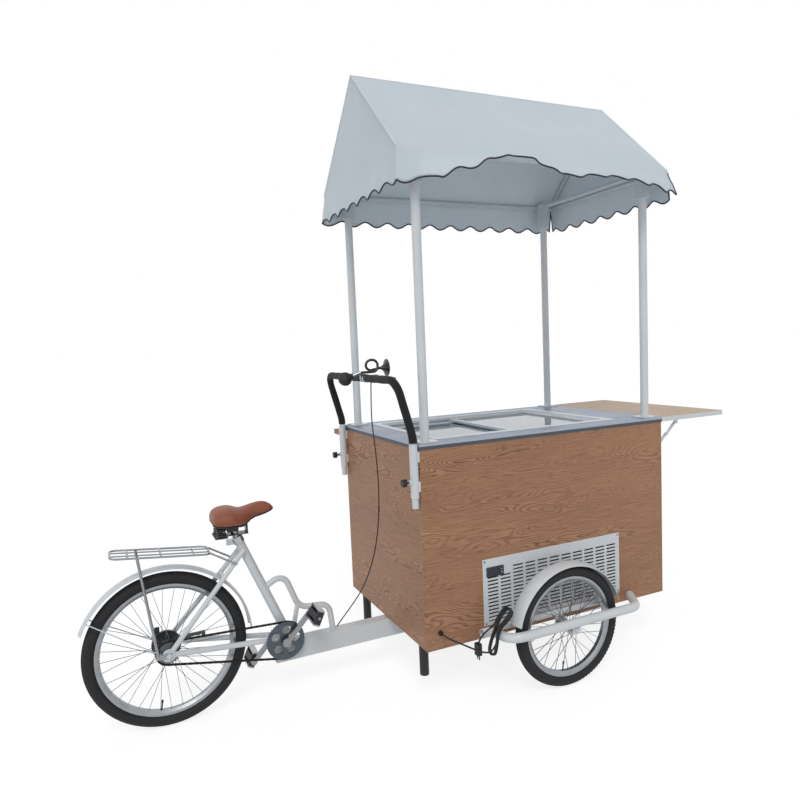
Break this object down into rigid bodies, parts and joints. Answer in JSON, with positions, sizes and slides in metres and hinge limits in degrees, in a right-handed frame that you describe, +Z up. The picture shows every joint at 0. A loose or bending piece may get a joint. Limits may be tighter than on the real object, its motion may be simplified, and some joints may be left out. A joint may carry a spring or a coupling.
{
  "type": "beverage bike",
  "caption": "Pedal-driven drinks trike: cold cabinet with sliding lids, canopy and fold-down table in front, steered rear bike half.",
  "frame": {"origin": "ground under the middle of the overall length and width", "axes": "+X forward towards the table, +Y to the left, +Z up"},
  "size_m": [2.8668, 1.1738, 2.56],
  "materials": {
    "white_paint": "gloss",
    "laminate": "satin",
    "deck_steel": "brushed",
    "dark_trim": "satin",
    "white_plastic": "gloss",
    "lid_glass": "clear",
    "plant_black": "satin",
    "alloy": "satin",
    "alloy_white": "painted white",
    "tyre_rubber": "matte",
    "chrome": "polished",
    "dark_steel": "satin",
    "chain_steel": "oiled",
    "saddle_hide": "satin",
    "canopy_fabric": "matte",
    "black_rubber": "matte",
    "cord_jacket": "matte",
    "button_plastic": "satin"
  },
  "bodies": {
    "cabinet": {"chassis_frame": "white_paint", "stop_sleeves": "dark_trim", "cabinet_panels": "laminate", "top_deck": "deck_steel", "edge_trim": "dark_trim", "liner_tub": "white_plastic", "lid_rails": "white_plastic", "grille_plate": "white_paint", "controller_case": "dark_trim", "compressor": "plant_black", "condenser": "alloy", "canopy_poles": "white_paint", "canopy_frame": "alloy_white", "canopy_cloth": "canopy_fabric", "bar_sockets": "white_paint", "carrier_right": "white_paint", "carrier_left": "white_paint", "front_fenders": "white_paint", "shelf_irons": "white_paint", "side_shelf": "laminate", "cord_gland": "dark_trim", "power_cord": "cord_jacket", "cord_hank": "cord_jacket", "power_plug": "cord_jacket"},
    "rear_lid": {"lid_rear_frame": "white_plastic", "lid_rear_glass": "lid_glass"},
    "front_lid": {"lid_front_frame": "white_plastic", "lid_front_glass": "lid_glass"},
    "fan": {"fan_rotor": "dark_trim"},
    "up_button": {"button_up": "button_plastic"},
    "down_button": {"button_down": "button_plastic"},
    "handle": {"push_bar": "white_paint", "bar_foam": "black_rubber", "bulb_horn": "black_rubber", "bar_clamps": "chrome"},
    "lever": {"brake_lever": "chrome"},
    "right_knob": {"knob_right": "dark_trim"},
    "left_knob": {"knob_left": "dark_trim"},
    "table": {"table_top": "laminate"},
    "lower_stays": {"stay_lower": "white_paint"},
    "upper_stays": {"stay_upper": "white_paint"},
    "rear_half": {"main_frame": "white_paint", "rear_stays": "white_paint", "rear_fender": "white_paint", "rear_rack": "chrome", "chain": "chain_steel", "band_brake": "dark_steel", "brake_cable": "black_rubber"},
    "seat": {"seat_post": "chrome", "saddle": "saddle_hide", "saddle_springs": "dark_steel"},
    "cranks": {"crankset": "dark_steel"},
    "right_pedal": {"pedal_right": "dark_trim"},
    "left_pedal": {"pedal_left": "dark_trim"},
    "rear_roadwheel": {"rear_tyre": "tyre_rubber", "rear_wheel": "alloy"},
    "right_roadwheel": {"front_tyre_right": "tyre_rubber", "front_wheel_right": "alloy"},
    "left_roadwheel": {"front_tyre_left": "tyre_rubber", "front_wheel_left": "alloy"}
  },
  "joints": [
    {"name": "steer", "type": "hinge", "parent": "cabinet", "child": "rear_half", "pos_m": [0.39344, 0, 0.189], "axis": [0, 0, 1], "range_deg": [-24, 24], "deforming": ["brake_cable"]},
    {"name": "rear_wheel_spin", "type": "hinge", "parent": "rear_half", "child": "rear_roadwheel", "pos_m": [-1.12856, 0, 0.3035], "axis": [0, 1, 0], "continuous": true, "deforming": ["chain"]},
    {"name": "crank_spin", "type": "hinge", "parent": "rear_half", "child": "cranks", "pos_m": [-0.67603, 0, 0.25], "axis": [0, 1, 0], "continuous": true, "deforming": ["chain"]},
    {"name": "right_pedal_spin", "type": "hinge", "parent": "cranks", "child": "right_pedal", "pos_m": [-0.56489, -0.1275, 0.36509], "axis": [0, 1, 0], "continuous": true},
    {"name": "left_pedal_spin", "type": "hinge", "parent": "cranks", "child": "left_pedal", "pos_m": [-0.78718, 0.1275, 0.13491], "axis": [0, 1, 0], "continuous": true},
    {"name": "right_wheel_spin", "type": "hinge", "parent": "cabinet", "child": "right_roadwheel", "pos_m": [0.39344, -0.512, 0.253], "axis": [0, 1, 0], "continuous": true},
    {"name": "left_wheel_spin", "type": "hinge", "parent": "cabinet", "child": "left_roadwheel", "pos_m": [0.39344, 0.512, 0.253], "axis": [0, 1, 0], "continuous": true},
    {"name": "seat_height", "type": "slide", "parent": "rear_half", "child": "seat", "axis": [-0.3811, 0, 0.9245], "range_m": [0, 0.08]},
    {"name": "handle_height", "type": "slide", "parent": "cabinet", "child": "handle", "axis": [0, 0, 1], "range_m": [0, 0.12], "deforming": ["brake_cable"]},
    {"name": "brake_squeeze", "type": "hinge", "parent": "handle", "child": "lever", "pos_m": [-0.24386, -0.1, 1.307], "axis": [0, 0, 1], "range_deg": [-10, 0], "stiffness_Nm_per_rad": 6},
    {"name": "right_knob_turn", "type": "hinge", "parent": "cabinet", "child": "right_knob", "pos_m": [-0.26656, -0.398, 0.915], "axis": [1, 0, 0], "continuous": true},
    {"name": "left_knob_turn", "type": "hinge", "parent": "cabinet", "child": "left_knob", "pos_m": [-0.26656, 0.398, 0.915], "axis": [1, 0, 0], "continuous": true},
    {"name": "rear_lid_slide", "type": "slide", "parent": "cabinet", "child": "rear_lid", "axis": [1, 0, 0], "range_m": [0, 0.36]},
    {"name": "front_lid_slide", "type": "slide", "parent": "cabinet", "child": "front_lid", "axis": [1, 0, 0], "range_m": [-0.36, 0]},
    {"name": "fan_spin", "type": "hinge", "parent": "cabinet", "child": "fan", "pos_m": [0.29344, -0.308, 0.4085], "axis": [0, 1, 0], "continuous": true},
    {"name": "up_press", "type": "slide", "parent": "cabinet", "child": "up_button", "axis": [0, 1, 0], "range_m": [0, 0.0015], "stiffness_N_per_m": 800},
    {"name": "down_press", "type": "slide", "parent": "cabinet", "child": "down_button", "axis": [0, 1, 0], "range_m": [0, 0.0015], "stiffness_N_per_m": 800},
    {"name": "table_fold", "type": "hinge", "parent": "cabinet", "child": "table", "pos_m": [1.04544, 0, 1.024], "axis": [0, 1, 0], "range_deg": [0, 90]},
    {"name": "lower_stay_fold", "type": "hinge", "parent": "cabinet", "child": "lower_stays", "pos_m": [1.04544, 0, 0.914], "axis": [0, 1, 0], "range_deg": [-45, 0]},
    {"name": "upper_stay_fold", "type": "hinge", "parent": "table", "child": "upper_stays", "pos_m": [1.15544, 0, 1.024], "axis": [0, 1, 0], "range_deg": [0, 45]}
  ],
  "couplings": [
    {"joint": "crank_spin", "follows": "rear_wheel_spin", "ratio": 0.57895},
    {"joint": "lower_stay_fold", "follows": "table_fold", "ratio": -0.5},
    {"joint": "upper_stay_fold", "follows": "table_fold", "ratio": 0.5}
  ]
}
